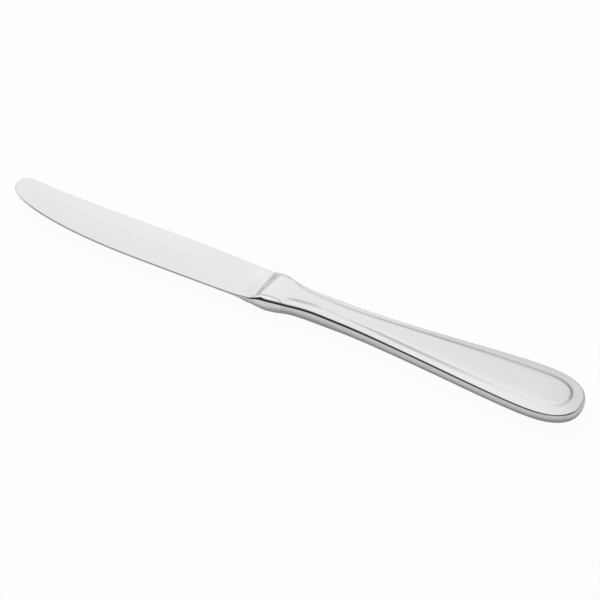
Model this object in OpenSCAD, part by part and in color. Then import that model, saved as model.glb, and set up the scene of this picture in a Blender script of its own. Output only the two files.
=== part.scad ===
// Dessert knife with a hollow handle, lying on the back of its handle.
// X runs from the blade's tip to the butt of the handle, +Y points to the spine and +Z is up.
// The origin is under the middle of the knife, on the surface that it lies on.

/* [Blade] */
// Length of the blade, from the tip to the foot of the shoulder
blade_l = 97.6; // [80:0.2:120]
// Width of the blade from the cutting edge to the spine, where both run straight
blade_w = 15.7; // [12:0.1:18]
// Width of the blade at the foot of the shoulder
heel_w = 14.7; // [12:0.1:16]
// Thickness of the spine at the shoulder
spine_t = 2; // [1.4:0.1:2.6]
// Thickness that the spine tapers to at the tip
tip_t = 1.2; // [0.8:0.1:1.8]
// Thickness of the blunt cutting edge
edge_t = 0.8; // [0.3:0.05:1]
// Length of the curved belly that runs up to the tip
belly_l = 50; // [30:1:65]
// Length over which the spine sweeps up to the tip
sweep_l = 45; // [15:1:60]
// Distance from the tip to the place where the spine bows out most
bow_at = 68; // [50:1:75]
// How far the spine bows out there
spine_bow = 0.25; // [0:0.05:0.6]
// Distance of the tip point from the centre line, towards the spine
tip_y = 4.3; // [2:0.1:6]
// Radius of the spine's corner at the tip
tip_r = 4.5; // [2.5:0.1:6]
// Depth of the small flat at the very tip
nose_flat = 0.1; // [0.05:0.05:0.3]

/* [Bolster] */
// Length from the foot of the shoulder to the back of the bolster
bolster_l = 9.4; // [8:0.1:14]
// Width of the bolster where it is widest
bolster_w = 14.8; // [14:0.1:16]
// Width between the upper edges of the bolster's side walls
bolster_edge_w = 14.3; // [12.8:0.1:14.6]
// Thickness of the bolster's side where it is thickest
bolster_edge_t = 5.4; // [4.6:0.1:5.5]
// Distance of that place from the back of the bolster
crest_at = 3.4; // [2:0.1:5]
// Reach of the curve from that place towards the heel
crest_reach = 5.6; // [2:0.1:6]
// Length of the sloped shoulder on the centre line
shoulder_l = 2.9; // [1.5:0.1:4]
// Drop of the bolster's crown from the mouth of the handle to the top of the shoulder
crown_drop = 0.05; // [0:0.01:0.1]
// Length ahead of the shoulder over which the side walls grow out of the blade
heel_run = 3.6; // [1.6:0.1:6]
// Rise of the side walls at the heel, in mm per mm
heel_rise = 0.1; // [0:0.01:0.3]
// Slant of the shoulder's foot across the blade, in mm per mm
foot_slant = 0.07; // [0:0.01:0.15]
// Slant of the shoulder's top across the bolster, in mm per mm
top_slant = 0.2; // [0:0.01:0.25]

/* [Handle] */
// Length of the handle, from the back of the bolster to the butt
handle_l = 104.2; // [90:0.2:130]
// Thickness of the handle at the centre of its panels
handle_t = 5.9; // [5.8:0.1:7.5]
// Width of the handle at its mouth
mouth_w = 12.2; // [11.6:0.1:12.6]
// Narrowing of each side at the mouth, in mm per mm
mouth_slope = 0.25; // [0.1:0.01:0.4]
// Width of the waist
neck_w = 10; // [8.6:0.1:10.8]
// Distance of the waist from the back of the bolster
neck_at = 20; // [14:0.5:24]
// Reach of the waist's curve into the flank
neck_reach = 19; // [5:0.5:20]
// Widest width of the handle
handle_w = 20.4; // [17:0.1:24]
// Distance of the widest place from the butt
widest_at = 16; // [11:0.2:20]
// Reach of the widest place's curve into the flank
widest_reach = 13; // [5:0.5:20]
// Fullness of the round butt and of the panel's round end, where 2 is an ellipse
butt_power = 2.4; // [2:0.05:2.6]
// Thickness of the side just behind the mouth
mouth_edge_t = 4.4; // [3.8:0.1:4.8]
// Distance of that place from the back of the bolster
dip_at = 1.2; // [1:0.1:3]
// Thickness of the side at the waist
neck_edge_t = 4.8; // [3.8:0.1:5]
// Thickness of the side at the butt
butt_edge_t = 3.8; // [3:0.1:4.4]
// Radius of the edge between the side and the border
edge_r = 0.35; // [0.2:0.05:0.5]
// How far the side wall swells out at half height, beyond the border's edge
side_swell = 0.15; // [0.05:0.05:0.4]

/* [Panel] */
// Width of the raised panel at the mouth of the handle, and on the bolster
panel_mouth_w = 10.4; // [9.6:0.1:10.5]
// Narrowing of each side of the panel behind the bolster, in mm per mm
panel_mouth_slope = 0.8; // [0.4:0.05:1.1]
// Width of the raised panel at its narrowest
panel_neck_w = 4; // [3.4:0.1:5]
// Distance of the panel's narrowest place from the back of the bolster
panel_neck_at = 14; // [9:0.5:16]
// Widest width of the raised panel
panel_w = 12.3; // [9:0.1:13.4]
// Distance of the panel's round end from the butt
panel_end_gap = 4.7; // [3.5:0.1:7]
// Height of the panel's edge above the border
panel_rise = 0.55; // [0.3:0.05:0.7]
// Least height of the panel's dome above its edge
panel_dome = 0.1; // [0.05:0.01:0.15]
// Width of the cove between the panel and the flat of the border
cove_w = 1.2; // [0.8:0.1:1.6]

/* [Shells and joints] */
// Wall of the two pressed half shells
shell_wall = 0.8; // [0.6:0.05:1]
// Thickness of the braze between the half shells and behind the bolster
braze_t = 0.12; // [0.08:0.02:0.3]
// Depth of the flat on which the knife rests
rest_flat = 0.06; // [0.03:0.01:0.1]

/* [Tang] */
// Length of the tang inside the handle
tang_l = 40; // [25:1:46]
// Width of the tang
tang_w = 4; // [3:0.1:4.6]
// Thickness of the tang
tang_t = 2; // [1.2:0.1:2.2]
// Depth of the notches that key the tang into the cement
notch_d = 0.6; // [0.3:0.1:0.9]
// Number of notches along each edge of the tang
notches = 4; // [2:1:5]
// Length of the cement behind the bolster
cement_l = 48; // [48:1:66]

/* [Hidden] */

steel = "lightgray";
braze = "silver";
cement = "dimgray";

// Stations along the knife, from the tip
foot_x = blade_l;
heel_x = foot_x - heel_run;
heel_end_x = heel_x + heel_run / 2;
top_x = foot_x + shoulder_l;
crest_x = foot_x + bolster_l - crest_at;
seam_x = foot_x + bolster_l;
mouth_x = seam_x + braze_t;
neck_x = seam_x + neck_at;
cement_x = seam_x + cement_l;
butt_x = seam_x + handle_l;
widest_x = butt_x - widest_at;

// Heights from the plane between the half shells
half_t = handle_t / 2;
half_braze = braze_t / 2;
rest_z = half_t - rest_flat;

// Numbers of steps in the surfaces
tip_steps = 6;
belly_steps = 12;
belly_bunching = 1.5;
blade_steps = 8;
heel_steps = 4;
shoulder_steps = 4;
bolster_steps = 6;
neck_steps = 9;
cement_steps = 7;
flank_steps = 9;
butt_steps = 10;

function mix(a, b, t) = a + (b - a) * t;
function share(x, a, b) = max(0, min(1, (x - a) / (b - a)));
function away(foot, p, move) = p + (p - foot) / norm(p - foot) * move;

// A curve through knots of [x, value, slope, reach before, reach after], where a reach is the length of
// the curve's handle along x, and a third of the run where none is given
function bezier(p, t) =
    p[0] * pow(1 - t, 3) + p[1] * 3 * t * pow(1 - t, 2) + p[2] * 3 * pow(t, 2) * (1 - t) + p[3] * pow(t, 3);
function bezier_t(xs, x, low = 0, high = 1, halvings = 24) =
    let (t = (low + high) / 2)
    halvings == 0 ? t
    : bezier(xs, t) < x ? bezier_t(xs, x, t, high, halvings - 1)
    : bezier_t(xs, x, low, t, halvings - 1);
function between(a, b, x) =
    let (
        third = (b[0] - a[0]) / 3,
        ra = is_undef(a[4]) ? third : a[4],
        rb = is_undef(b[3]) ? third : b[3],
        t = bezier_t([a[0], a[0] + ra, b[0] - rb, b[0]], x)
    )
    bezier([a[1], a[1] + a[2] * ra, b[1] - b[2] * rb, b[1]], t);
function along(knots, x) =
    x <= knots[0][0] ? knots[0][1]
    : x >= knots[len(knots) - 1][0] ? knots[len(knots) - 1][1]
    : let (i = max([for (k = [0 : len(knots) - 2]) if (knots[k][0] <= x) k]))
        between(knots[i], knots[i + 1], x);

// Blade outline: the cutting edge and the spine
function quarter(x, r) = sqrt(max(0, 1 - pow(1 - min(1, (x + nose_flat) / r), 2)));
heel_slope = (blade_w - heel_w) / (blade_l - bow_at) / 2;
function edge_y(x) =
    x < belly_l ? tip_y - (tip_y + blade_w / 2) * quarter(x, belly_l)
    : along([[belly_l, -blade_w / 2, 0], [blade_l, -heel_w / 2, heel_slope]], x);
function spine_y(x) =
    x < tip_r ? tip_y + tip_r * quarter(x, tip_r)
    : along([
        [tip_r, tip_y + tip_r, -tip_r / sweep_l],
        [sweep_l, blade_w / 2, 0],
        [bow_at, blade_w / 2 + spine_bow, 0],
        [blade_l, heel_w / 2, -heel_slope]
    ], x);

// Blade section: a plain taper from the spine to the blunt edge
function blade_z(x, y) =
    mix(edge_t, mix(tip_t, spine_t, share(x, 0, blade_l)), (y - edge_y(x)) / blade_w) / 2;
section_shares = [0.03, 0.06, 0.08, 0.1, 0.12, 0.14, 0.25, 0.39];
corner = edge_t / 8;
function blade_half(x, side) =
    let (from = side < 0 ? edge_y(x) : spine_y(x), to = side < 0 ? spine_y(x) : edge_y(x))
    concat(
        [[x, from, half_braze], [x, from - side * corner, blade_z(x, from) - corner]],
        [for (s = section_shares) let (y = mix(from, to, s)) [x, y, blade_z(x, y)]]
    );

// Handle outlines: half widths at half height, the swell beyond the border's edge, and the raised panel
side_knots = [
    [top_x, bolster_w / 2, 0],
    [seam_x, mouth_w / 2, -mouth_slope],
    [mouth_x, mouth_w / 2, -mouth_slope],
    [neck_x, neck_w / 2, 0, undef, neck_reach],
    [widest_x, handle_w / 2, 0, widest_reach]
];
swell_knots = [[heel_x, 0, 0], [top_x, (bolster_w - bolster_edge_w) / 2, 0], [seam_x, side_swell, 0]];
panel_knots = [
    [mouth_x, panel_mouth_w / 2, -panel_mouth_slope],
    [seam_x + panel_neck_at, panel_neck_w / 2, 0],
    [widest_x, panel_w / 2, 0]
];

// Heights of the border and of the crown
border_knots = [
    [heel_x, edge_t / 2, heel_rise],
    [crest_x, bolster_edge_t / 2, 0, crest_reach],
    [seam_x + dip_at, mouth_edge_t / 2, 0],
    [neck_x, neck_edge_t / 2, 0],
    [butt_x, butt_edge_t / 2, 0]
];
crown_knots = [[top_x, half_t - crown_drop, 0], [seam_x, half_t, 0]];
function border_height(x) = along(border_knots, x);
function crown_height(x) = along(crown_knots, x);
function rise(x) = panel_rise * share(x, foot_x, top_x);
function rim_height(x) = min(border_height(x) + rise(x), crown_height(x) - panel_dome);

// A station has its foot on the centre line, a point on the side and a point on the panel's edge
function station(x) = [[x, 0], [x, along(side_knots, x)], [x, along(panel_knots, x)]];
function butt_station(angle) =
    let (
        c = pow(cos(angle), 2 / butt_power),
        s = pow(sin(angle), 2 / butt_power),
        foot = [widest_x, 0]
    )
    [
        foot,
        foot + [widest_at * s, handle_w / 2 * c],
        foot + [(widest_at - panel_end_gap) * s, panel_w / 2 * c]
    ];

// Outer skin of one side at a station: swell, wall, round edge, border, cove and dome
// The cove's points are shares of its width out from the panel, and of its rise
cove_shares = [[1, 0.01], [0.5, 0.25], [0.15, 0.72]];
dome_shares = [0.7, 0.3];
most_cove = 0.9;
function outer_half(s, least_z = 0, round_r = edge_r) =
    let (
        foot = s[0],
        side = s[1],
        panel = s[2],
        edge = away(foot, side, -along(swell_knots, side[0])),
        border_z = max(least_z, border_height(side[0])),
        crown_z = crown_height(side[0]),
        rim_z = rim_height(side[0]),
        cove = min(cove_w, most_cove * (norm(edge - foot) - round_r - norm(panel - foot)))
    )
    concat(
        [
            concat(side, half_braze),
            concat(edge, border_z - round_r),
            concat(away(foot, edge, -round_r * (1 - cos(45))), border_z - round_r * (1 - sin(45))),
            concat(away(foot, edge, -round_r), border_z)
        ],
        [for (c = cove_shares) concat(away(foot, panel, cove * c[0]), mix(border_z, rim_z, c[1]))],
        [concat(panel, rim_z)],
        [for (f = dome_shares) concat(mix(foot, panel, f), dome_z(f, rim_z, crown_z))]
    );
function dome_z(f, rim_z, crown_z) = mix(rim_z, crown_z, min(1, (1 - f * f) / (1 - pow(min(dome_shares), 2))));

// Inner skin of one side at a station, one wall in from the outer skin
// The step's points are shares of the panel's rise inwards, and of the step's own rise
least_flat = 0.3;
lip = least_flat / 3;
step_shares = [[0.3, 0.5], [0.6, 1]];
wall_shares = [0.7, 0.5];
function inner_half(s) =
    let (
        foot = s[0],
        side = away(foot, s[1], -shell_wall),
        edge = away(foot, side, -side_swell),
        reach = min(norm(s[2] - foot), norm(edge - foot) - least_flat),
        panel = away(foot, s[2], reach - norm(s[2] - foot)),
        border_z = border_height(s[1][0]) - shell_wall,
        rim_z = rim_height(s[1][0]) - shell_wall,
        crown_z = half_t - shell_wall
    )
    concat(
        [
            concat(side, half_braze),
            concat(mix(edge, side, wall_shares[0]), border_z * wall_shares[1]),
            concat(edge, border_z - edge_r),
            concat(away(foot, edge, -lip), border_z),
            concat(away(foot, panel, lip), border_z),
            concat(panel, border_z)
        ],
        [for (c = step_shares) concat(away(foot, panel, -panel_rise * c[0]), mix(border_z, rim_z, c[1]))],
        [for (f = dome_shares) concat(mix(foot, panel, f), dome_z(f, rim_z, crown_z))]
    );

function sided(points, side) = side < 0 ? mirrored(points, 1) : points;
function mirrored(points, axis) = [for (p = points) [for (i = [0 : 2]) i == axis ? -p[i] : p[i]]];
function reversed(list) = [for (i = [len(list) - 1 : -1 : 0]) list[i]];
function flat(lists) = [for (list = lists) each list];
function steps(a, b, n) = [for (i = [1 : n]) mix(a, b, i / n)];

// Surfaces made of rings around the X axis, each with its upper points first, from the edge to the spine
function ring(near, far) =
    let (top = concat(near, reversed(far)))
    concat(top, reversed(mirrored(top, 2)));
module loft(rings) {
    n = len(rings[0]);
    last = len(rings) - 1;
    sides = [
        for (r = [0 : last - 1])
        for (i = [0 : n - 1])
        let (a = r * n + i, b = r * n + (i + 1) % n)
        each [[a, b, a + n], [b, b + n, a + n]]
    ];
    caps = [
        for (i = [0 : n / 2 - 2])
        let (j = n - 1 - i, z = last * n)
        each [
            [i, j, i + 1],
            [i + 1, j, j - 1],
            [z + i, z + i + 1, z + j],
            [z + i + 1, z + j - 1, z + j]
        ]
    ];
    polyhedron(flat(rings), concat(sides, caps));
}

// Blade and bolster in one loft: each row goes partly with the side walls, which grow from the heel on, and
// partly with the top, which grows at the slanted shoulder
slant_knots = [[belly_l, 0, 0], [foot_x, foot_slant, 0], [top_x, top_slant, 0], [seam_x, 0, 0]];
wall_parts = [1, 1, 1, 1, 0.75, 0.5, 0.25, 0, 0, 0];
function slanted(p, part) = [p[0] + along(slant_knots, p[0]) * p[1] * part, p[1], p[2]];
function forged_half(x, side) =
    let (
        thin = blade_half(x, side),
        least_z = blade_z(x, thin[0][1]),
        round_r = mix(corner, edge_r, share(x, heel_x, top_x)),
        thick = sided(outer_half(station(x), least_z, round_r), side),
        wall = share(x, heel_x, heel_end_x),
        top = share(x, foot_x, top_x)
    )
    [
        for (i = [0 : len(thin) - 1])
        slanted(mix(thin[i], thick[i], mix(top, wall, wall_parts[i])), 1 - wall_parts[i])
    ];
forged_xs = concat(
    [for (i = [0 : tip_steps]) tip_r * (1 - cos(90 * i / tip_steps))],
    [for (i = [1 : belly_steps]) mix(tip_r, belly_l, pow(i / belly_steps, belly_bunching))],
    steps(belly_l, heel_x, blade_steps),
    steps(heel_x, foot_x, heel_steps),
    steps(foot_x, top_x, shoulder_steps),
    steps(top_x, seam_x, bolster_steps)
);

// Tang, with V notches along both edges
tang_root = bolster_l / 2;
notch_pitch = tang_l / (notches + 1);
module tang() {
    linear_extrude(tang_t, center = true)
        difference() {
            translate([seam_x - tang_root, -tang_w / 2])
                square([tang_root + tang_l, tang_w]);
            for (i = [1 : notches], side = [-1, 1])
                translate([seam_x + i * notch_pitch, side * tang_w / 2])
                    rotate(45)
                        square(notch_d * sqrt(2), center = true);
        }
}

// Half shell above the middle plane: columns run from the mouth round the butt and back to the mouth,
// and the rows of a column run over the outer skin and back along the inner skin
handle_xs = concat(
    [mouth_x],
    steps(mouth_x, neck_x, neck_steps),
    steps(neck_x, cement_x, cement_steps),
    steps(cement_x, widest_x, flank_steps)
);
stations = concat(
    [for (x = handle_xs) station(x)],
    [for (angle = steps(0, 90, butt_steps)) butt_station(angle)]
);
function around(halves) = concat(mirrored_all(halves), [for (i = [len(halves) - 2 : -1 : 0]) halves[i]]);
function mirrored_all(halves) = [for (half = halves) mirrored(half, 1)];
outer_columns = around([for (s = stations) outer_half(s)]);
inner_columns = around([for (s = stations) inner_half(s)]);
module half_shell() {
    columns = [for (i = [0 : len(outer_columns) - 1]) concat(outer_columns[i], reversed(inner_columns[i]))];
    rows = len(columns[0]);
    crown = rows / 2 - 1;
    last = len(columns) - 1;
    function id(column, row) = column * rows + row % rows;
    skins = [
        for (c = [0 : last - 1])
        for (r = [0 : rows - 1])
        if (r != crown)
        each [
            [id(c, r), id(c, r + 1), id(c + 1, r)],
            [id(c, r + 1), id(c + 1, r + 1), id(c + 1, r)]
        ]
    ];
    crowns = [
        for (c = [0 : last / 2 - 1])
        let (d = last - c)
        each concat(
            [
                [id(c, crown), id(d, crown), id(c + 1, crown)],
                [id(c, crown + 1), id(c + 1, crown + 1), id(d, crown + 1)]
            ],
            c + 1 == d - 1 ? [] : [
                [id(d, crown), id(d - 1, crown), id(c + 1, crown)],
                [id(d, crown + 1), id(c + 1, crown + 1), id(d - 1, crown + 1)]
            ]
        )
    ];
    mouth = [
        for (r = [0 : crown - 1])
        let (s = rows - 1 - r)
        each [
            [id(0, r), id(0, s), id(0, r + 1)],
            [id(0, s), id(0, s - 1), id(0, r + 1)],
            [id(last, r), id(last, r + 1), id(last, s)],
            [id(last, s), id(last, r + 1), id(last, s - 1)]
        ]
    ];
    bridge = [
        [id(0, crown), id(0, crown + 1), id(last, crown)],
        [id(0, crown + 1), id(last, crown + 1), id(last, crown)]
    ];
    polyhedron(flat(columns), concat(skins, crowns, mouth, bridge));
}

// The knife in its frame, and the cut that leaves the flat it rests on
module placed() {
    translate([-butt_x / 2, 0, rest_z])
        children();
}
module resting() {
    difference() {
        placed()
            children();
        translate([-butt_x, -handle_w, -handle_t])
            cube([2 * butt_x, 2 * handle_w, handle_t]);
    }
}

module blade() {
    color(steel)
        resting() {
            loft([for (x = forged_xs) ring(forged_half(x, -1), forged_half(x, 1))]);
            tang();
        }
}

module handle_face() {
    color(steel)
        placed()
            half_shell();
}

module handle_back() {
    color(steel)
        resting()
            mirror([0, 0, 1])
                half_shell();
}

function plan(columns) = [for (column = columns) [column[0][0], column[0][1]]];
module rim_braze() {
    color(braze)
        placed()
            linear_extrude(braze_t, center = true)
                polygon(concat(plan(outer_columns), reversed(plan(inner_columns))));
}

function whole_ring(half) = ring(mirrored(half, 1), half);
function end_view(points) = [for (p = points) [p[1], p[2]]];
module section(points, depth) {
    rotate([90, 0, 90])
        linear_extrude(depth)
            polygon(end_view(points));
}
module mouth_braze() {
    mouth = station(mouth_x);
    color(braze)
        resting()
            translate([seam_x, 0, 0])
                difference() {
                    section(whole_ring(outer_half(mouth)), braze_t);
                    section(whole_ring(inner_half(mouth)), braze_t);
                }
}

function at_x(points, x) = [for (p = points) [x, p[1], p[2]]];
module tang_cement() {
    halves = [for (x = handle_xs) if (x <= cement_x) inner_half(station(x))];
    front = at_x(halves[0], seam_x);
    color(cement)
        placed()
            difference() {
                loft([for (half = concat([front], halves)) whole_ring(half)]);
                tang();
            }
}

blade();
handle_face();
handle_back();
rim_braze();
mouth_braze();
tang_cement();
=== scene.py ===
import functools
import math

import bmesh
import bpy
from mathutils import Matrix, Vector
from mathutils.kdtree import KDTree


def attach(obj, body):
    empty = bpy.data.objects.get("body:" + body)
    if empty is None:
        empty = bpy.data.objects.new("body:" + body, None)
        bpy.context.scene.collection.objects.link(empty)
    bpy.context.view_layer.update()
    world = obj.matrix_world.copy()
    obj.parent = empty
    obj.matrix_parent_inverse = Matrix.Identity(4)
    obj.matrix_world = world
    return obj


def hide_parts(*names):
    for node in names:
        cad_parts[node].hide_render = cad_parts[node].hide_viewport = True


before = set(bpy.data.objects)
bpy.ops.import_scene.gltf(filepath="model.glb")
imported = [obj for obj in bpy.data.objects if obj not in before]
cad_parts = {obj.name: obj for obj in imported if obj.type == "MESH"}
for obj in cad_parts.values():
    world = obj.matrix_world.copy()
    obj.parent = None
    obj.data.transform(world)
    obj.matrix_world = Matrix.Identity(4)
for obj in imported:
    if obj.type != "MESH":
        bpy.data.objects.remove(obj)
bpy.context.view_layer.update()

# Sizes are in millimetres from the blade's tip, the middle line and the plane between the half shells.
MM = 0.001
LENGTH = 211.2
REST_Z = 2.89

# Stations along the knife
BELLY = 50.0
HEEL = 94.0
HEEL_END = 95.8
FOOT = 97.6
TOP = 100.2
SEAM = 107.0
MOUTH = 107.12
NECK = 127.0
WIDEST = 195.2

# Blade
BLADE_W = 15.7
HEEL_W = 14.7
SPINE_T = 2.0
TIP_T = 1.2
EDGE_T = 0.8
BULGE = 0.1
CORNER = 0.22
SWEEP = 45.0
BOW_AT = 68.0
BOW = 0.25
TIP_Y = 4.3
TIP_R = 4.5
TIP_FAN = 14.0

# Handle
HALF_T = 2.95
BUTT_POWER = 2.4
BUTT_R = LENGTH - WIDEST
HANDLE_W = 20.4
PANEL_W = 12.3
PANEL_END_GAP = 4.7
PANEL_RISE = 0.55
COVE_W = 1.2
WALL = 0.8
HALF_BRAZE = 0.06
TANG_W = 4.0
TANG_T = 2.0
TANG_L = 40.0
NOTCH_D = 0.6
NOTCHES = 4

# Exactness of the modelling
HALVINGS = 30
TINY = 1e-9
MERGE_GAP = 0.0005
CUT_GAP = 0.0001
SEAM_BAND = 0.1
SQUARE_ON = 0.999


def mix(a, b, t):
    return a + (b - a) * t


def share(x, a, b):
    return max(0.0, min(1.0, (x - a) / (b - a)))


def eased(x, a, b):
    t = share(x, a, b)
    return t * t * (3 - 2 * t)


def bezier(p, t):
    return p[0] * (1 - t) ** 3 + 3 * p[1] * t * (1 - t) ** 2 + 3 * p[2] * t ** 2 * (1 - t) + p[3] * t ** 3


def along(knots, x):
    """Value at x of a curve through knots of (x, value, slope, reach before, reach after)."""
    if x <= knots[0][0]:
        return knots[0][1]
    if x >= knots[-1][0]:
        return knots[-1][1]
    a, b = next((a, b) for a, b in zip(knots, knots[1:]) if a[0] <= x < b[0])
    third = (b[0] - a[0]) / 3
    reach_a = a[4] if len(a) > 4 else third
    reach_b = b[3] if len(b) > 3 and b[3] else third
    xs = (a[0], a[0] + reach_a, b[0] - reach_b, b[0])
    low, high = 0.0, 1.0
    for _ in range(HALVINGS):
        t = (low + high) / 2
        low, high = (t, high) if bezier(xs, t) < x else (low, t)
    return bezier((a[1], a[1] + a[2] * reach_a, b[1] - b[2] * reach_b, b[1]), t)


# Outline of the blade, and the thickness of its edge, which grows towards the heel
EDGE_T_KNOTS = [(89.5, EDGE_T, 0), (97.2, 3.0, 0.3)]
HEEL_SLOPE = (BLADE_W - HEEL_W) / (FOOT - BOW_AT) / 2
EDGE_KNOTS = [(BELLY, -BLADE_W / 2, 0), (FOOT, -HEEL_W / 2, HEEL_SLOPE)]
SPINE_KNOTS = [
    (TIP_R, TIP_Y + TIP_R, -TIP_R / SWEEP),
    (SWEEP, BLADE_W / 2, 0),
    (BOW_AT, BLADE_W / 2 + BOW, 0),
    (FOOT, HEEL_W / 2, -HEEL_SLOPE),
]


def quarter(x, r):
    return math.sqrt(max(0.0, 1 - (1 - min(1.0, x / r)) ** 2))


def edge_y(x):
    if x < BELLY:
        return TIP_Y - (TIP_Y + BLADE_W / 2) * quarter(x, BELLY)
    return along(EDGE_KNOTS, x)


def spine_y(x):
    if x < TIP_R:
        return TIP_Y + TIP_R * quarter(x, TIP_R)
    return along(SPINE_KNOTS, x)


def blade_z(x, y):
    spine = mix(TIP_T, SPINE_T, share(x, 0, FOOT))
    t = (y - edge_y(x)) / BLADE_W
    return mix(along(EDGE_T_KNOTS, x), spine, t) / 2 + BULGE * 4 * t * (1 - t)


# Curves of the bolster and the handle: half widths, and heights above the middle plane
SWELL_KNOTS = [(HEEL, 0, 0), (TOP, 0.28, 0), (SEAM, 0.18, 0)]
NEAR, FAR = -1, 1
MOUTH_SLOPE = -0.25
NECK_REACH = 19.0
WIDEST_REACH = 13.0
SIDE_KNOTS = {
    NEAR: [
        (TOP, 7.65, 0), (SEAM, 6.5, MOUTH_SLOPE), (MOUTH, 6.47, MOUTH_SLOPE),
        (NECK, 5.25, 0, None, NECK_REACH), (WIDEST, HANDLE_W / 2, 0, WIDEST_REACH)],
    FAR: [
        (TOP, 7.35, 0), (SEAM, 5.9, MOUTH_SLOPE), (MOUTH, 5.87, MOUTH_SLOPE),
        (NECK, 4.85, 0, None, NECK_REACH), (WIDEST, HANDLE_W / 2, 0, WIDEST_REACH)],
}
PANEL_KNOTS = {
    NEAR: [
        (100.4, 5.45, -0.2), (102.9, 4.95, 0), (105.6, 5.0, 0), (108.3, 3.2, -0.7), (112.5, 2.0, -0.17),
        (118.0, 1.5, 0), (124.0, 1.65, 0.06), (131.0, 2.2, 0.05), (WIDEST, PANEL_W / 2, 0)],
    FAR: [
        (105.4, 5.3, 0), (108.4, 4.27, -0.42), (110.8, 3.3, -0.27), (115.0, 2.75, -0.07),
        (124.0, 2.2, -0.02), (131.0, 2.2, 0.04), (WIDEST, PANEL_W / 2, 0)],
}
LIFT_KNOTS = {
    NEAR: [
        (104.5, 0, 0), (107.4, 0.28, 0), (111.0, 0.14, -0.01), (NECK, 0.08, 0), (136.0, 0, 0),
        (165.0, 0.15, 0), (WIDEST, 0.26, 0)],
    FAR: [(136.0, 0, 0), (165.0, 0.15, 0), (WIDEST, 0.26, 0)],
}
BORDER_KNOTS = {
    NEAR: [
        (93.8, EDGE_T / 2, 0.12), (97.6, 1.72, 0.33), (101.8, 2.74, 0.07), (104.0, 2.84, 0),
        (106.8, 2.62, -0.1), (110.0, 2.42, 0), (118.0, 2.58, 0), (NECK, 2.42, -0.02), (150.0, 2.1, -0.008),
        (LENGTH, 1.9, 0)],
    FAR: [
        (TOP, 2.5, 0), (104.0, 2.64, 0), (112.0, 2.66, 0), (122.0, 2.6, -0.01), (150.0, 2.32, -0.006),
        (190.0, 2.2, -0.006), (LENGTH, 1.9, 0)],
}
ROUND_KNOTS = {
    NEAR: [
        (HEEL, CORNER, 0), (98.0, 0.75, 0), (TOP, 0.95, 0.05), (103.5, 1.1, 0), (SEAM, 1.05, 0),
        (NECK, 0.95, 0), (150.0, 0.75, 0), (WIDEST, 0.6, 0), (LENGTH, 0.5, 0)],
    FAR: [(NECK, 0.5, 0), (WIDEST, 0.45, 0), (LENGTH, 0.5, 0)],
}
CROWN_KNOTS = [(TOP, 2.88, 0.03), (104.0, HALF_T, 0)]
DOME_KNOTS = [(150.0, 0.1, 0), (188.0, 0.28, 0)]
DOME_POWER_KNOTS = [(NECK, 4.0, 0), (WIDEST, 2.0, 0)]
SLANT_KNOTS = [(BELLY, 0, 0), (FOOT, 0.05, 0), (TOP, 0.16, 0), (SEAM, 0, 0)]

# Rows of the skin, from the middle plane up over the side, the border and the cove to the panel's dome
LOW_ROW = 0.4
LOW_SWELL = 0.25
WALL_HOLD = 0.3
LEAST_WALL = 0.7
CHAMFER = 0.42
THIN_ROUND = 0.75
EDGE_ROW = 5
BORDER_HOLD = 0.15
COVE_ROOM = 0.75
COVE_ROWS = [(1.0, 0.01), (0.55, 0.18), (0.2, 0.55)]
RIM_SHARE = 0.82
DOME_ROWS = [0.93, 0.75, 0.5, 0.22]
BLADE_ROWS = [0.951, 0.894, 0.845, 0.796, 0.746, 0.687, 0.555, 0.366, 0.162]

# The bolster's flat facet takes the place of border and cove, and fades out behind the seam
FACET_ROWS = [0.2, 0.45, 0.7, 0.88]
FACET_FADE = (105.2, 108.6)

# How far each row of the forging goes with its side walls, and not with its shoulder
WALL_PARTS = [1, 1, 1, 1, 1, 1, 0.8, 0.6, 0.4, 0.2, 0, 0, 0, 0, 0]


def rounded(out, top, r):
    """Rows of a side wall and of its round upper edge, as distances out and heights."""
    return [
        (out, max(top - r - WALL_HOLD, (top - r) * LEAST_WALL)),
        (out, top - r),
        (out - r * CHAMFER, top - r * CHAMFER),
        (out - r, top),
    ]


def handle_rows(foot, side, panel, least_z=0.0):
    """Points of one side of the bolster or the handle at a station."""
    x = side.x
    half = NEAR if side.y < 0 else FAR
    ray = (side - foot).normalized()
    out = (side - foot).length
    swell = along(SWELL_KNOTS, x)
    r = along(ROUND_KNOTS[half], x)
    border = max(least_z, along(BORDER_KNOTS[half], x))
    crown = along(CROWN_KNOTS, x)
    base = border + along(LIFT_KNOTS[half], x)
    rim = min(base + PANEL_RISE * share(x, FOOT, TOP), crown - along(DOME_KNOTS, x))
    inner = (panel - foot).length
    room = out - swell - r - inner
    cove = min(COVE_W, COVE_ROOM * room)
    facet = 1 - eased(x, *FACET_FADE)
    rows = [(out, 0.0), (out - swell * LOW_SWELL, border * LOW_ROW)]
    rows += rounded(out - swell, border, r)
    rows.append((out - swell - r - min(WALL_HOLD, BORDER_HOLD * room), mix(border, base, BORDER_HOLD)))
    rows += [(inner + cove * s, mix(base, rim, rise)) for s, rise in COVE_ROWS]
    edge = rows[EDGE_ROW]
    for i, t in enumerate(FACET_ROWS, EDGE_ROW + 1):
        flat = (mix(edge[0], inner, t), mix(edge[1], rim, t))
        rows[i] = tuple(mix(p, q, facet) for p, q in zip(rows[i], flat))
    rows.append((inner, mix(base, rim, mix(RIM_SHARE, 1, facet))))
    power = along(DOME_POWER_KNOTS, x)
    low = 1 - DOME_ROWS[-1] ** power
    rows += [(inner * f, mix(rim, crown, (1 - f ** power) / low)) for f in DOME_ROWS]
    return [Vector((*(foot + ray * d), z)) for d, z in rows]


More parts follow.
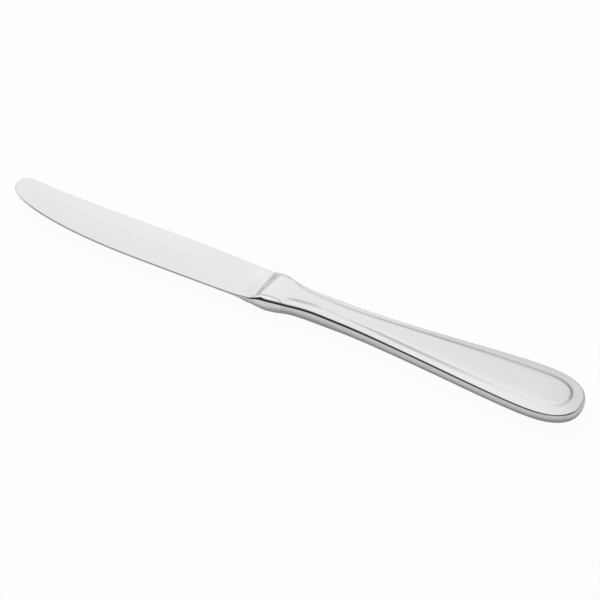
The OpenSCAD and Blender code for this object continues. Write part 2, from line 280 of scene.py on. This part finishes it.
def blade_rows(foot, side):
    """Points of one side of the plain blade at a station."""
    ray = (side - foot).normalized()
    out = (side - foot).length
    top = blade_z(side.x, side.y)
    rows = [(out, 0.0), (out, top * LOW_ROW)] + rounded(out, top, min(CORNER, top * THIN_ROUND))
    points = [Vector((*(foot + ray * d), z)) for d, z in rows]
    for f in BLADE_ROWS:
        p = foot + (side - foot) * f
        points.append(Vector((*p, blade_z(p.x, p.y))))
    return points


def forged_rows(x, sign):
    """Blade and bolster: each row goes partly with the side walls and partly with the slanted shoulder."""
    side_y = edge_y(x) if sign < 0 else spine_y(x)
    middle = Vector((x, (edge_y(x) + spine_y(x)) / 2))
    thin = blade_rows(middle, Vector((x, side_y)))
    if x <= BELLY:
        return thin
    thick = handle_rows(*side_station(x, sign), blade_z(x, side_y))
    top = share(x, FOOT, TOP)
    wall = eased(x, HEEL, HEEL_END) if sign < 0 else top
    slant = along(SLANT_KNOTS, x)
    points = []
    for a, b, part in zip(thin, thick, WALL_PARTS):
        p = a.lerp(b, mix(top, wall, part))
        slide = slant * p.y * ((1 - part) if sign < 0 else 1)
        points.append(Vector((p.x + slide, p.y, p.z)))
    return points


def spread(path, count):
    """Points at even distances along a path, without its first point."""
    lengths = [0.0]
    for a, b in zip(path, path[1:]):
        lengths.append(lengths[-1] + (b - a).length)
    points = []
    for i in range(1, count + 1):
        want = lengths[-1] * i / count
        k = next(k for k in range(1, len(path)) if lengths[k] >= want - TINY)
        t = (want - lengths[k - 1]) / (lengths[k] - lengths[k - 1])
        points.append(path[k - 1].lerp(path[k], t))
    return points


# Stations of the skin, from the butt to the tip
BUTT_STEP, BUTT_STEPS = 7.5, 12
BUTT_ANGLES = [90 - BUTT_STEP * i for i in range(BUTT_STEPS)]
HANDLE_XS = [
    195.2, 191, 186, 180, 174, 168, 162, 156, 150, 144, 139, 134, 130, 127, 124.5, 122.2, 120, 118, 116,
    114.4, 113, 111.8, 110.8, 109.9, 109.1, 108.4, 107.75]
FORGED_XS = [
    107.06, 106.5, 105.9, 105.2, 104.4, 103.5, 102.6, 101.8, 101.2, 100.8, 100.5, 100.2, 99.7, 99.05, 98.4,
    97.9, 97.6, 97.3, 96.8, 96.2, 95.5, 94.8, 94, 93, 91, 87, 81, 74, 67, 59, 50, 43, 36, 29, 23, 18, 14]
TIP_STEPS = 13
TIP_POINTS = 240


def butt_station(angle, sign):
    c = 0.0 if angle == 90 else math.cos(math.radians(angle)) ** (2 / BUTT_POWER)
    s = math.sin(math.radians(angle)) ** (2 / BUTT_POWER)
    foot = Vector((WIDEST, 0))
    side = foot + Vector((BUTT_R * s, sign * HANDLE_W / 2 * c))
    panel = foot + Vector(((BUTT_R - PANEL_END_GAP) * s, sign * PANEL_W / 2 * c))
    return foot, side, panel


def side_station(x, sign):
    side = Vector((x, sign * along(SIDE_KNOTS[sign], x)))
    panel = Vector((x, sign * along(PANEL_KNOTS[sign], x)))
    return Vector((x, 0)), side, panel


def tip_rows(sign):
    """Points of the stations that fan round the tip, from the blade to the tip."""
    xs = [TIP_FAN * (1 - i / TIP_POINTS) ** 2 for i in range(TIP_POINTS + 1)]
    outline = [Vector((x, edge_y(x) if sign < 0 else spine_y(x))) for x in xs]
    foot = Vector((TIP_FAN, (edge_y(TIP_FAN) + spine_y(TIP_FAN)) / 2))
    return [blade_rows(foot, side) for side in spread(outline, TIP_STEPS)]


def station_rows(sign):
    """Points of all stations along one side, from the butt to the tip."""
    rows = [handle_rows(*butt_station(angle, sign)) for angle in BUTT_ANGLES]
    rows += [handle_rows(*side_station(x, sign)) for x in HANDLE_XS]
    rows += [forged_rows(x, sign) for x in FORGED_XS]
    return rows + tip_rows(sign)


def placed(p):
    return Vector(((p.x - LENGTH / 2) * MM, p.y * MM, (p.z + REST_Z) * MM))


# Modelling by hand: operators act on what is selected, so each step starts from nothing selected
def start(name):
    bpy.ops.object.select_all(action="DESELECT")
    bpy.ops.mesh.primitive_circle_add(vertices=3, radius=MM)
    piece = bpy.context.object
    piece.name = piece.data.name = name
    bpy.ops.object.mode_set(mode="EDIT")
    bpy.ops.mesh.delete(type="VERT")
    return piece


def draw_line(points):
    """A line of edges, drawn by extruding one vertex from point to point."""
    bpy.ops.mesh.select_all(action="DESELECT")
    bpy.ops.mesh.primitive_circle_add(vertices=3, radius=MM, location=points[0])
    bpy.ops.mesh.merge(type="CENTER")
    for a, b in zip(points, points[1:]):
        bpy.ops.mesh.extrude_vertices_move(TRANSFORM_OT_translate={"value": b - a})


def draw_loop(points):
    """A closed line of edges."""
    draw_line(points)
    select_points(bpy.context.object, [points[0], points[-1]])
    bpy.ops.mesh.edge_face_add()


def select_points(piece, points):
    """Selects the vertices at the given points, and the edges between them."""
    bpy.ops.mesh.select_all(action="DESELECT")
    mesh = bmesh.from_edit_mesh(piece.data)
    mesh.verts.ensure_lookup_table()
    places = KDTree(len(mesh.verts))
    for v in mesh.verts:
        places.insert(v.co, v.index)
    places.balance()
    for p in points:
        mesh.verts[places.find(p)[1]].select = True
    mesh.select_flush_mode()
    bmesh.update_edit_mesh(piece.data)


def only(piece):
    bpy.ops.object.select_all(action="DESELECT")
    piece.select_set(True)
    bpy.context.view_layer.objects.active = piece


def modified(piece, kind, **settings):
    """Adds a modifier and applies it."""
    only(piece)
    modifier = piece.modifiers.new(kind.title(), kind)
    for name, value in settings.items():
        setattr(modifier, name, value)
    bpy.ops.object.modifier_apply(modifier=modifier.name)


def outward(piece):
    only(piece)
    bpy.ops.object.mode_set(mode="EDIT")
    bpy.ops.mesh.select_all(action="SELECT")
    bpy.ops.mesh.normals_make_consistent(inside=False)
    bpy.ops.object.mode_set(mode="OBJECT")


def model_skin():
    """The upper half of the knife's whole outside, open along the middle plane."""
    near, far = station_rows(NEAR), station_rows(FAR)
    loops = []
    for row in range(len(near[0])):
        there = [placed(rows[row]) for rows in near]
        back = [placed(rows[row]) for rows in far[1:-1]]
        loops.append(there + back[::-1])
    skin = start("skin")
    for loop in loops:
        draw_loop(loop)
    for a, b in zip(loops, loops[1:]):
        select_points(skin, a + b)
        bpy.ops.mesh.bridge_edge_loops()
    last = loops[-1]
    count = len(near)
    there, back = last[1:count - 1], last[count:]
    select_points(skin, there + back)
    bpy.ops.mesh.bridge_edge_loops()
    for end, a, b in ((last[0], there[0], back[-1]), (last[count - 1], there[-1], back[0])):
        select_points(skin, [end, a, b])
        bpy.ops.mesh.edge_face_add()
    bpy.ops.object.mode_set(mode="OBJECT")
    outward(skin)
    modified(skin, "SUBSURF", levels=2, render_levels=2, boundary_smooth="PRESERVE_CORNERS")
    return skin


def whole(skin):
    """Both halves of the outside as one closed body."""
    only(skin)
    bpy.ops.object.mode_set(mode="EDIT")
    bpy.ops.mesh.select_all(action="SELECT")
    bpy.ops.mesh.duplicate()
    bpy.ops.transform.resize(value=(1, 1, -1), center_override=(0, 0, REST_Z * MM))
    bpy.ops.mesh.flip_normals()
    bpy.ops.mesh.select_all(action="SELECT")
    bpy.ops.mesh.remove_doubles(threshold=MERGE_GAP * MM)
    bpy.ops.object.mode_set(mode="OBJECT")
    return skin


def cut(piece, at, away):
    """Cuts off what lies beyond a plane, and closes the cut."""
    only(piece)
    bpy.ops.object.mode_set(mode="EDIT")
    bpy.ops.mesh.select_all(action="SELECT")
    bpy.ops.mesh.bisect(
        plane_co=placed(Vector(at)), plane_no=away, use_fill=True, clear_outer=True, threshold=CUT_GAP * MM)
    bpy.ops.object.mode_set(mode="OBJECT")


def copied(body, name):
    only(body)
    bpy.ops.object.duplicate()
    piece = bpy.context.object
    piece.name = piece.data.name = name
    return piece


# Hollow of the handle, within the wall: corner, cove and how far it reaches into the bolster
CORE_LEDGE = 0.5
CORE_CORNER_W, CORE_CORNER_H = 0.3, 0.35
CORE_COVE_W = 0.4
CORE_MIDDLE = 0.4
CORE_REACH = 1.0


def core_rows(foot, side, panel):
    """Points of one side of the hollow inside the handle at a station."""
    ray = (side - foot).normalized()
    x = side.x
    out = (side - foot).length - WALL - along(SWELL_KNOTS, x)
    border = along(BORDER_KNOTS[NEAR], x) - WALL
    rim = min(border + PANEL_RISE, HALF_T - along(DOME_KNOTS, x) - WALL)
    inner = min((panel - foot).length, out - CORE_LEDGE)
    rows = [
        (out, 0.0),
        (out, border - CORE_CORNER_H),
        (out - CORE_CORNER_W, border),
        (inner, border),
        (inner - CORE_COVE_W, rim),
        (inner * CORE_MIDDLE, rim),
    ]
    return [Vector((*(foot + ray * d), z)) for d, z in rows]


def model_core():
    """The hollow inside the handle, as a body that reaches a little way into the bolster."""
    stations = []
    for sign in (NEAR, FAR):
        half = [core_rows(*butt_station(angle, sign)) for angle in BUTT_ANGLES]
        half += [core_rows(*side_station(x, sign)) for x in HANDLE_XS + [SEAM, SEAM - CORE_REACH]]
        stations.append(half)
    near, far = stations
    core = start("core")
    lines = [[placed(rows[row]) for rows in near[::-1] + far[1:]] for row in range(len(near[0]))]
    for line in lines:
        draw_line(line)
    for a, b in zip(lines, lines[1:]):
        select_points(core, a + b)
        bpy.ops.mesh.bridge_edge_loops()
    last, count = lines[-1], len(near)
    there, back = last[:count - 1], last[count:]
    select_points(core, there + back)
    bpy.ops.mesh.bridge_edge_loops()
    select_points(core, [last[count - 1], there[-1], back[0]])
    bpy.ops.mesh.edge_face_add()
    bpy.ops.object.mode_set(mode="OBJECT")
    outward(core)
    modified(core, "SUBSURF", levels=1, render_levels=1)
    whole(core)
    only(core)
    bpy.ops.object.mode_set(mode="EDIT")
    bpy.ops.mesh.select_all(action="DESELECT")
    bpy.ops.mesh.select_non_manifold()
    bpy.ops.mesh.edge_face_add()
    bpy.ops.object.mode_set(mode="OBJECT")
    outward(core)
    return core


def hollowed(piece, core):
    modified(piece, "BOOLEAN", operation="DIFFERENCE", solver="EXACT", object=core)


def add_tang(blade):
    """The tang, drawn out of the back of the bolster, with notches along both edges."""
    only(blade)
    bpy.ops.object.mode_set(mode="EDIT")
    bpy.context.tool_settings.mesh_select_mode = (False, False, True)
    bpy.ops.mesh.select_all(action="DESELECT")
    mesh = bmesh.from_edit_mesh(blade.data)
    middle = placed(Vector((SEAM, 0, 0)))
    for face in mesh.faces:
        at_seam = face.calc_center_median().x > middle.x - SEAM_BAND * MM
        face.select = at_seam and face.normal.x > SQUARE_ON
    bmesh.update_edit_mesh(blade.data)
    width = along(SIDE_KNOTS[NEAR], SEAM) + along(SIDE_KNOTS[FAR], SEAM)
    bpy.ops.mesh.extrude_region_move(TRANSFORM_OT_translate={"value": (0, 0, 0)})
    bpy.ops.transform.resize(value=(1, TANG_W / width, TANG_T / (2 * HALF_T)), center_override=middle)
    pitch = TANG_L / (NOTCHES + 1)
    narrow = (TANG_W - 2 * NOTCH_D) / TANG_W
    reach = 0.0
    for _ in range(NOTCHES):
        for run, grow in ((pitch - NOTCH_D - reach, 1), (NOTCH_D, narrow), (NOTCH_D, 1 / narrow)):
            bpy.ops.mesh.extrude_region_move(TRANSFORM_OT_translate={"value": (run * MM, 0, 0)})
            bpy.ops.transform.resize(value=(1, grow, 1), center_override=middle)
        reach = NOTCH_D
    bpy.ops.mesh.extrude_region_move(TRANSFORM_OT_translate={"value": ((pitch - reach) * MM, 0, 0)})
    bpy.context.tool_settings.mesh_select_mode = (True, False, False)
    bpy.ops.object.mode_set(mode="OBJECT")


ALONG, UP, DOWN = Vector((1, 0, 0)), Vector((0, 0, 1)), Vector((0, 0, -1))


def model_pieces():
    """Copies of the whole outside, cut at the joints; the core makes the handle hollow."""
    body = whole(model_skin())
    core = model_core()
    table = (0, 0, -REST_Z)
    blade = copied(body, "knife_blade")
    cut(blade, (SEAM, 0, 0), ALONG)
    add_tang(blade)
    cut(blade, table, DOWN)

    ring = copied(body, "mouth_joint")
    cut(ring, (SEAM, 0, 0), -ALONG)
    cut(ring, (MOUTH, 0, 0), ALONG)
    cut(ring, table, DOWN)

    cut(body, (MOUTH, 0, 0), -ALONG)
    rim = copied(body, "rim_joint")
    cut(rim, (0, 0, HALF_BRAZE), UP)
    cut(rim, (0, 0, -HALF_BRAZE), DOWN)
    face = copied(body, "face_shell")
    cut(face, (0, 0, HALF_BRAZE), DOWN)
    back = body
    back.name = back.data.name = "back_shell"
    cut(back, (0, 0, -HALF_BRAZE), UP)
    cut(back, table, DOWN)
    for piece in (ring, rim, face, back):
        hollowed(piece, core)
    bpy.data.objects.remove(core)
    return blade, ring, rim, face, back


class Wire:
    """A shader socket that can be used in sums, and that adds other nodes beside it."""

    def __init__(self, tree, socket=None):
        self.tree = tree
        self.socket = socket

    def node(self, kind, settings=None, inputs=None, output=0):
        made = self.tree.nodes.new(kind)
        for name, value in (settings or {}).items():
            if name == "stops":
                ramp = made.color_ramp
                while len(ramp.elements) > 1:
                    ramp.elements.remove(ramp.elements[0])
                for i, (place, level) in enumerate(value):
                    stop = ramp.elements[0] if i == 0 else ramp.elements.new(place)
                    stop.position = place
                    stop.color = (level, level, level, 1)
            else:
                setattr(made, name, value)
        for name, value in (inputs or {}).items():
            if isinstance(value, Wire):
                self.tree.links.new(value.socket, made.inputs[name])
            else:
                made.inputs[name].default_value = value
        return Wire(self.tree, made.outputs[output])

    def math(self, operation, a, b):
        return self.node("ShaderNodeMath", {"operation": operation}, {0: a, 1: b})

    def __add__(self, other):
        return self.math("ADD", self, other)

    def __radd__(self, other):
        return self.math("ADD", other, self)

    def __sub__(self, other):
        return self.math("SUBTRACT", self, other)

    def __rsub__(self, other):
        return self.math("SUBTRACT", other, self)

    def __mul__(self, other):
        return self.math("MULTIPLY", self, other)

    def __rmul__(self, other):
        return self.math("MULTIPLY", other, self)


def new_material(name):
    material = bpy.data.materials.new(name)
    material.use_nodes = True
    material.node_tree.nodes.clear()
    return material, Wire(material.node_tree)


def close(material, shader):
    out = material.node_tree.nodes.new("ShaderNodeOutputMaterial")
    material.node_tree.links.new(shader.socket, out.inputs["Surface"])
    return material


# Finish of the steel: faint lines along the knife, a little cloudiness, and painted shade and painted
# highlight along the panel's edge and on the bolster's facet
STEEL_TONE = 0.8
BRAZE_TONE = 0.795
POLISH = 0.05
LINE_SCALE = (60, 2600, 2600)
LINE_TONE = 0.01
CLOUD_SCALE = 90.0
CLOUD_TONE = 0.02
LEAST_TONE = 0.985
BLUE_CAST = 1.006
UNEVEN_POLISH = 0.03
PAINTED_SHADING_TONE = 0.4
PAINTED_SHADING_POLISH = 0.1
LINE_BUMP = 0.02
LINE_DEPTH = 0.00002

# Finish of the cement
GRAIN_SCALE = 900.0
GRAIN_TONES = [(0.3, 0.2), (0.7, 0.4)]
GRAIN_BUMP = 0.4
GRAIN_DEPTH = 0.0002
CEMENT_ROUGH = 0.8
GRAIN_ROUGH = 0.15


def polished_steel(name, tone):
    """Polished steel with faint polishing lines along the knife and a little unevenness."""
    material, wire = new_material(name)
    place = wire.node("ShaderNodeTexCoord", output="Object")
    lines_at = wire.node("ShaderNodeMapping", inputs={"Vector": place, "Scale": LINE_SCALE})
    lines = wire.node("ShaderNodeTexNoise", inputs={"Vector": lines_at, "Scale": 1.0, "Detail": 3.0})
    cloud = wire.node("ShaderNodeTexNoise", inputs={"Vector": place, "Scale": CLOUD_SCALE, "Detail": 2.0})
    # Painted shade darkens the steel along the panel's edge, and painted highlight brightens it where the
    # mark is negative; the same mark also dulls or sharpens the polish
    painted_shading = wire.node("ShaderNodeAttribute", {"attribute_name": "painted_shading"}, output="Fac")
    level = tone * (LEAST_TONE + CLOUD_TONE * cloud + LINE_TONE * lines) * (1 - PAINTED_SHADING_TONE * painted_shading)
    colour = wire.node("ShaderNodeCombineColor", inputs={
        "Red": level, "Green": level, "Blue": level * BLUE_CAST})
    roughness = POLISH + UNEVEN_POLISH * lines + UNEVEN_POLISH * cloud + PAINTED_SHADING_POLISH * painted_shading
    bump = wire.node("ShaderNodeBump", inputs={
        "Strength": LINE_BUMP, "Distance": LINE_DEPTH, "Height": lines})
    shader = wire.node("ShaderNodeBsdfPrincipled", inputs={
        "Base Color": colour, "Metallic": 1.0, "Roughness": roughness, "Normal": bump})
    return close(material, shader)


def dull_cement(name):
    material, wire = new_material(name)
    place = wire.node("ShaderNodeTexCoord", output="Object")
    grains = wire.node("ShaderNodeTexNoise", inputs={"Vector": place, "Scale": GRAIN_SCALE, "Detail": 6.0})
    colour = wire.node("ShaderNodeValToRGB", {"stops": GRAIN_TONES}, {"Fac": grains})
    bump = wire.node("ShaderNodeBump", inputs={
        "Strength": GRAIN_BUMP, "Distance": GRAIN_DEPTH, "Height": grains})
    shader = wire.node("ShaderNodeBsdfPrincipled", inputs={
        "Base Color": colour, "Roughness": CEMENT_ROUGH + GRAIN_ROUGH * grains, "Normal": bump})
    return close(material, shader)


# Painted shade along the foot of the panel's edge, where the polish is also made duller,
# and painted highlight, which is a negative mark, on the bolster's facet and along part of the far edge
FACET_PAINTED_HIGHLIGHT = -0.35
FACET_RAMP = (0.1, 0.5)
PAINTED_LINE_AT = 0.25
PAINTED_LINE_WIDE_W = 0.5
LINE_W = 0.28
LINE_WIDENS = 4.0
PAINTED_SHADING_KNOTS = {
    NEAR: [
        (97.5, 0, 0), (TOP, 1, 0), (107.0, 1, 0), (107.5, 0.6, 0), (107.7, 0.1, 0), (108.8, 0.7, 0.1),
        (111.0, 0.95, 0), (115.0, 0.9, 0), (121.0, 0.3, 0), (135.0, 0.12, 0), (150.0, 0.5, 0),
        (165.0, 0.5, 0), (178.0, 0.15, 0), (190.0, 0, 0), (200.0, 0, 0), (LENGTH, 0.5, 0)],
    FAR: [
        (104.0, 0, 0), (108.0, -0.28, 0), (130.0, -0.28, 0), (142.0, 0, 0), (160.0, 0.4, 0),
        (WIDEST, 0.4, 0), (206.0, 0.95, 0), (LENGTH, 0.5, 0)],
}
FACET_END = 107.6
FACET_KNOTS = [(100.4, 5.45, -0.2), (102.9, 4.95, 0), (106.2, 5.05, 0.15), (FACET_END, 6.0, 1.0)]


@functools.lru_cache(maxsize=None)
def looked_up(x, half):
    """Place of the line beside the panel or the facet, and the strength of its painted shade, negative for
    painted highlight.
    """
    line = FACET_KNOTS if half == NEAR and x < FACET_END else PANEL_KNOTS[half]
    return along(line, x), along(PAINTED_SHADING_KNOTS[half], x)


def panel_gap(x, y, panel):
    """Distance from the panel's edge, outwards."""
    if x < WIDEST:
        return abs(y) - panel
    reach = math.hypot(x - WIDEST, y)
    ends = ((x - WIDEST) / (BUTT_R - PANEL_END_GAP), abs(y) / (PANEL_W / 2))
    across = sum(end ** BUTT_POWER for end in ends) ** (1 / BUTT_POWER)
    return reach * (1 - 1 / across) if across > 0 else -PANEL_W


def painted_shading_at(p):
    """Painted shade at a point of a piece, negative where it is painted highlight."""
    x, y = p.x / MM + LENGTH / 2, p.y / MM
    panel, line_shading = looked_up(round(x, 1), NEAR if y < 0 else FAR)
    wide = eased(x, SEAM, SEAM + LINE_WIDENS)
    gap = panel_gap(x, y, panel) - PAINTED_LINE_AT * wide
    facet = eased(x, FOOT, TOP) * (1 - eased(x, SEAM, FACET_END)) * eased(gap, *FACET_RAMP)
    # The facet term is painted highlight on the bolster's facet
    return line_shading * math.exp(-(gap / mix(LINE_W, PAINTED_LINE_WIDE_W, wide)) ** 2) + FACET_PAINTED_HIGHLIGHT * facet


# Stores the painted shade and painted highlight of each vertex for the steel's colour
def paint_shading(piece):
    painted_shading = piece.data.attributes.new("painted_shading", "FLOAT", "POINT")
    painted_shading.data.foreach_set("value", [painted_shading_at(v.co) for v in piece.data.vertices])


SMOOTH_ANGLE = math.radians(30)


def finish_piece(piece, material):
    piece.data.materials.clear()
    piece.data.materials.append(material)
    only(piece)
    bpy.ops.object.shade_smooth_by_angle(angle=SMOOTH_ANGLE)


blade, ring, rim, face, back = model_pieces()
blade_steel = polished_steel("blade_steel", STEEL_TONE)
handle_steel = polished_steel("handle_steel", STEEL_TONE)
braze = polished_steel("braze", BRAZE_TONE)
for piece, node, slot, material in (
    (blade, "blade", "blade_steel", blade_steel),
    (face, "handle_face", "handle_steel", handle_steel),
    (back, "handle_back", "handle_steel", handle_steel),
    (rim, "rim_braze", "braze", braze),
    (ring, "mouth_braze", "braze", braze),
):
    paint_shading(piece)
    finish_piece(piece, material)
    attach(piece, "root")
    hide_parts(node)
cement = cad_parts["tang_cement"]
cement.data.materials.clear()
cement.data.materials.append(dull_cement("cement"))


# Studio: a pale floor, a dome that only the metal mirrors, a soft lamp on the far left and a fill light.
# Azimuths are 0 on the near side and grow towards the handle.
AZIMUTH, ELEVATION = math.radians(28.2), math.radians(45)
TARGET = Vector((6.08, -1.10, 4.89)) * MM
DISTANCE = 923.6 * MM
LENS = 171.43
SENSOR = 36.0
CLIP = (0.01, 20)
LAMP_AZIMUTH, LAMP_ELEVATION = math.radians(218), math.radians(45)
LAMP_DISTANCE = 1.5
LAMP_SIZE = 1.0
LAMP_POWER = 19
FILL = 0.42
FLOOR_SIZE = 6
PAPER = (0.65, 0.65, 0.65, 1)
PAPER_SEEN = 0.96
PAPER_MIRRORED = 0.1
WHITE = (1, 1, 1, 1)

# The dome's light by height, and by side as the camera sees it. Stops are (place, level).
DOME_R = 3
SKY_STOPS = [
    (0, 0.63), (0.2, 0.75), (0.42, 0.88), (0.5, 0.92), (0.6, 1.0), (0.67, 1.03), (0.73, 0.98), (0.8, 0.98),
    (0.87, 1.03), (0.93, 1.0), (0.97, 0.98)]
SIDE_STOPS = [
    (0.3, 1.0), (0.41, 0.97), (0.44, 1.0), (0.47, 1.05), (0.5, 1.0), (0.52, 0.95), (0.54, 0.91),
    (0.57, 0.87), (0.6, 0.8), (0.75, 0.64), (0.85, 0.56), (0.97, 0.54)]
SIDE_FADE_STOPS = [(0.55, 0.0), (0.85, 0.55)]

# Its dark part, which draws the line along the handle's near edge: two headings, and a band of heights
DEEP_AZIMUTH = math.radians(-30)
DEEP_STOPS = [(0.64, 0.0), (0.76, 1.0)]
BESIDE_AZIMUTH = math.radians(50)
BESIDE_STOPS = [(0.5, 0.0), (0.7, 0.93)]
DARK_BAND_STOPS = [(0.26, 0.0), (0.38, 1.0), (0.74, 1.0), (0.94, 0.0)]
DARKNESS = 0.97


def way(azimuth, elevation=0.0):
    """Direction out from the knife, level unless an elevation is given."""
    flat = math.cos(elevation)
    return Vector((math.sin(azimuth) * flat, -math.cos(azimuth) * flat, math.sin(elevation)))


def rays(wire):
    """Whether a ray comes from the camera, and whether it comes by way of metal or glass."""
    camera, mirror, glass = (
        wire.node("ShaderNodeLightPath", output=kind)
        for kind in ("Is Camera Ray", "Is Glossy Ray", "Is Transmission Ray"))
    return camera, mirror + glass


def add_camera():
    data = bpy.data.cameras.new("camera")
    data.lens = LENS
    data.sensor_width = data.sensor_height = SENSOR
    data.clip_start, data.clip_end = CLIP
    towards_camera = way(AZIMUTH, ELEVATION)
    camera = bpy.data.objects.new("camera", data)
    bpy.context.scene.collection.objects.link(camera)
    camera.location = TARGET + towards_camera * DISTANCE
    camera.rotation_euler = towards_camera.to_track_quat("Z", "Y").to_euler()
    bpy.context.scene.camera = camera


def add_floor():
    """Pale paper, white to the camera and pale grey in the metal, that keeps the knife's shadow."""
    bpy.ops.object.select_all(action="DESELECT")
    bpy.ops.mesh.primitive_plane_add(size=FLOOR_SIZE)
    floor = bpy.context.object
    floor.name = "floor"
    material, wire = new_material("floor_paper")
    from_camera, mirrored = rays(wire)
    seen = PAPER_SEEN * from_camera + PAPER_MIRRORED * mirrored
    paper = wire.node("ShaderNodeBsdfDiffuse", inputs={"Color": PAPER})
    glow = wire.node("ShaderNodeEmission", inputs={"Color": WHITE, "Strength": 1.0})
    both = wire.node("ShaderNodeMixShader", inputs={"Fac": seen, 1: paper, 2: glow})
    floor.data.materials.append(close(material, both))


def add_dome():
    """Studio walls: bright above and on the left, greyer to the right, dark on both sides of the camera."""
    bpy.ops.object.select_all(action="DESELECT")
    bpy.ops.mesh.primitive_uv_sphere_add(segments=64, ring_count=32, radius=DOME_R)
    dome = bpy.context.object
    dome.name = "studio_dome"
    dome.visible_camera = False
    dome.visible_shadow = False
    dome.visible_diffuse = False
    material, wire = new_material("studio_light")
    place = wire.node("ShaderNodeTexCoord", output="Object")
    direction = wire.node("ShaderNodeVectorMath", {"operation": "NORMALIZE"}, {0: place})
    level = wire.node("ShaderNodeVectorMath", {"operation": "MULTIPLY"}, {0: direction, 1: (1, 1, 0)})
    heading = wire.node("ShaderNodeVectorMath", {"operation": "NORMALIZE"}, {0: level})
    up = wire.node("ShaderNodeSeparateXYZ", inputs={0: direction}, output="Z")

    def facing(aim, azimuth):
        inputs = {0: aim, 1: way(azimuth)}
        return wire.node("ShaderNodeVectorMath", {"operation": "DOT_PRODUCT"}, inputs, "Value")

    def ramp(value, stops):
        return wire.node("ShaderNodeValToRGB", {"stops": stops}, {"Fac": value})

    sky = ramp(up, SKY_STOPS)
    side = ramp(0.5 + 0.5 * facing(direction, AZIMUTH + math.pi / 2), SIDE_STOPS)
    side_fade = ramp(up, SIDE_FADE_STOPS)
    deep = ramp(facing(heading, DEEP_AZIMUTH), DEEP_STOPS)
    beside = ramp(facing(heading, BESIDE_AZIMUTH), BESIDE_STOPS)
    dark = wire.math("MAXIMUM", deep, beside) * ramp(up, DARK_BAND_STOPS)
    strength = sky * (side + side_fade * (1 - side)) * (1 - DARKNESS * dark)
    grey = wire.node("ShaderNodeCombineColor", inputs={"Red": strength, "Green": strength, "Blue": strength})
    light = wire.node("ShaderNodeEmission", inputs={"Color": grey, "Strength": 1.0})
    dome.data.materials.append(close(material, light))


def add_world():
    """White to the camera, and a soft fill light for the floor. The metal mirrors the dome before it."""
    world = bpy.data.worlds.new("studio")
    bpy.context.scene.world = world
    world.use_nodes = True
    wire = Wire(world.node_tree)
    from_camera, mirrored = rays(wire)
    seen = from_camera + mirrored
    background = world.node_tree.nodes["Background"]
    background.inputs["Color"].default_value = WHITE
    world.node_tree.links.new((FILL + (1 - FILL) * seen).socket, background.inputs["Strength"])


def add_lamp():
    """A soft lamp on the far left, which throws the knife's shadow towards the camera."""
    data = bpy.data.lights.new("softbox", "AREA")
    data.shape = "SQUARE"
    data.size = LAMP_SIZE
    data.energy = LAMP_POWER
    lamp = bpy.data.objects.new("softbox", data)
    bpy.context.scene.collection.objects.link(lamp)
    towards_lamp = way(LAMP_AZIMUTH, LAMP_ELEVATION)
    lamp.location = towards_lamp * LAMP_DISTANCE
    lamp.rotation_euler = towards_lamp.to_track_quat("Z", "Y").to_euler()
    lamp.visible_glossy = False


add_camera()
add_floor()
add_dome()
add_world()
add_lamp()
bpy.context.scene.view_settings.view_transform = "Standard"
